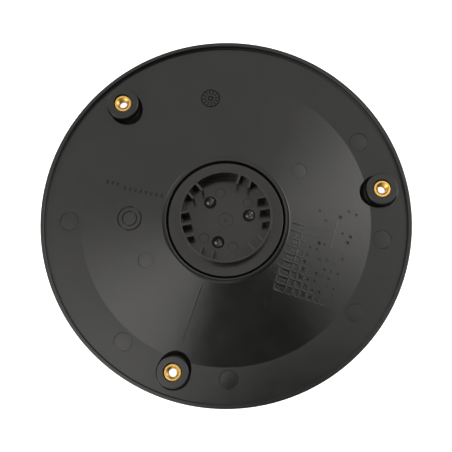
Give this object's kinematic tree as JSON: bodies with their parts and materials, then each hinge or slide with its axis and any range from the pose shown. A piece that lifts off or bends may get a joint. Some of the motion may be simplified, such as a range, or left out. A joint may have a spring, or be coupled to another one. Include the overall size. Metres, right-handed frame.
{
  "type": "surface cleaner disc",
  "caption": "Round black moulded cleaning disc with a lipped rim, three brass-threaded bosses and a ribbed drive cup turning on a ball bearing.",
  "frame": {"origin": "centre of the circle that the rim stands on, at the bottom of the rim", "axes": "+Z along the hub's axis, out of the cup; the first threaded boss lies 11.1 degrees from +X towards +Y"},
  "size_m": [0.3, 0.3, 0.0396],
  "materials": {
    "disc_plastic": "black glass-filled moulding with a fine satin texture",
    "hub_plastic": "slightly warmer black moulding, fine satin texture",
    "insert_brass": "turned brass",
    "bearing_steel": "ground bearing steel",
    "ball_steel": "polished",
    "cage_plastic": "natural polyamide",
    "seal_rubber": "matt black nitrile",
    "spring_steel": "phosphated spring steel",
    "plate_steel": "zinc-plated pressed sheet",
    "screw_steel": "zinc-plated"
  },
  "bodies": {
    "disc": {"disc_shell": "disc_plastic", "disc_rim": "disc_plastic", "disc_collar": "disc_plastic", "disc_boss_1": "disc_plastic", "disc_boss_2": "disc_plastic", "disc_boss_3": "disc_plastic", "threaded_insert_1": "insert_brass", "threaded_insert_2": "insert_brass", "threaded_insert_3": "insert_brass", "bearing_outer_race": "bearing_steel", "bearing_shield_upper": "seal_rubber", "bearing_shield_lower": "seal_rubber", "retaining_ring": "spring_steel"},
    "hub": {"hub_cup": "hub_plastic", "bearing_inner_race": "bearing_steel", "retainer_plate": "plate_steel", "hub_screw_1": "screw_steel", "hub_screw_2": "screw_steel", "hub_screw_3": "screw_steel"},
    "cage": {"bearing_cage": "cage_plastic", "bearing_ball_01": "ball_steel", "bearing_ball_02": "ball_steel", "bearing_ball_03": "ball_steel", "bearing_ball_04": "ball_steel", "bearing_ball_05": "ball_steel", "bearing_ball_06": "ball_steel", "bearing_ball_07": "ball_steel", "bearing_ball_08": "ball_steel", "bearing_ball_09": "ball_steel", "bearing_ball_10": "ball_steel", "bearing_ball_11": "ball_steel", "bearing_ball_12": "ball_steel", "bearing_ball_13": "ball_steel", "bearing_ball_14": "ball_steel", "bearing_ball_15": "ball_steel", "bearing_ball_16": "ball_steel"}
  },
  "joints": [
    {"name": "hub_spin", "type": "hinge", "parent": "disc", "child": "hub", "pos_m": [0, 0, 0.0136], "axis": [0, 0, 1], "continuous": true},
    {"name": "cage_spin", "type": "hinge", "parent": "disc", "child": "cage", "pos_m": [0, 0, 0.0136], "axis": [0, 0, 1], "continuous": true}
  ],
  "couplings": [
    {"joint": "cage_spin", "follows": "hub_spin", "ratio": 0.46944}
  ]
}
